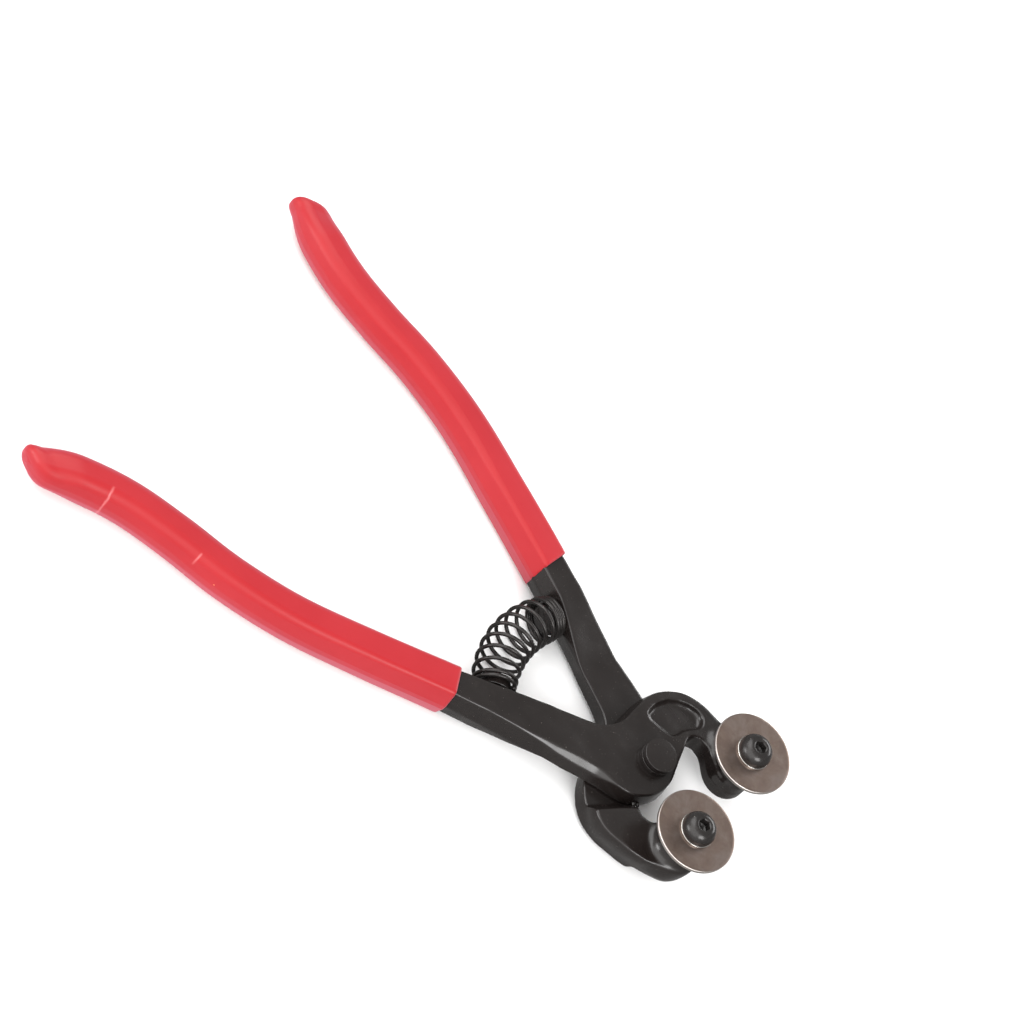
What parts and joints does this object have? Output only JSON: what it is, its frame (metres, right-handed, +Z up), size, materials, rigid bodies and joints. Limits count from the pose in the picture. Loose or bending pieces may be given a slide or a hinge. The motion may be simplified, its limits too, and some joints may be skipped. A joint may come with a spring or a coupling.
{
  "type": "wheeled mosaic glass nippers",
  "caption": "Spring-open glass nippers: forged black levers on a rivet, red dipped grips, and screwed-on disc cutting wheels raised on posts at the jaws.",
  "frame": {"origin": "on the pivot axis, at the flat end of the rivet on the tool's back, which rests on the table", "axes": "+Z up out of the face that carries the wheel screws, +X from the handles to the jaws along the line that halves the angle between the handles, +Y towards the rear lever's handle"},
  "size_m": [0.1946, 0.1236, 0.0257],
  "materials": {
    "black_enamel": "glossy black enamel over forged steel",
    "red_vinyl": "glossy red dipped vinyl",
    "ground_steel": "ground, grey-brown mottled hard metal",
    "zinc": "bright zinc plate",
    "black_oxide": "oiled black oxide",
    "spring_wire": "blackened spring wire"
  },
  "bodies": {
    "rear_body": {"rear_lever": "black_enamel", "rear_grip": "red_vinyl", "pivot_rivet": "black_enamel", "pivot_washer": "black_enamel", "rear_spring_peg": "black_enamel", "return_spring": "spring_wire", "rear_wheel_screw": "black_oxide", "rear_wheel_washer": "zinc"},
    "front_body": {"front_lever": "black_enamel", "front_grip": "red_vinyl", "front_spring_peg": "black_enamel", "front_wheel_screw": "black_oxide", "front_wheel_washer": "zinc"},
    "front_wheel": {"front_cutting_wheel": "ground_steel"},
    "rear_wheel": {"rear_cutting_wheel": "ground_steel"}
  },
  "joints": [
    {"name": "pivot_hinge", "type": "hinge", "parent": "rear_body", "child": "front_body", "pos_m": [0, 0, 0.0067], "axis": [0, 0, -1], "range_deg": [0, 25], "stiffness_Nm_per_rad": 0.25, "springref_deg": -20.05, "deforming": ["return_spring"]},
    {"name": "front_wheel_hinge", "type": "hinge", "parent": "front_body", "child": "front_wheel", "pos_m": [0.0172, 0.0153, 0.0211], "axis": [0, 0, 1], "continuous": true},
    {"name": "rear_wheel_hinge", "type": "hinge", "parent": "rear_body", "child": "rear_wheel", "pos_m": [0.0172, -0.0153, 0.0211], "axis": [0, 0, 1], "continuous": true}
  ]
}
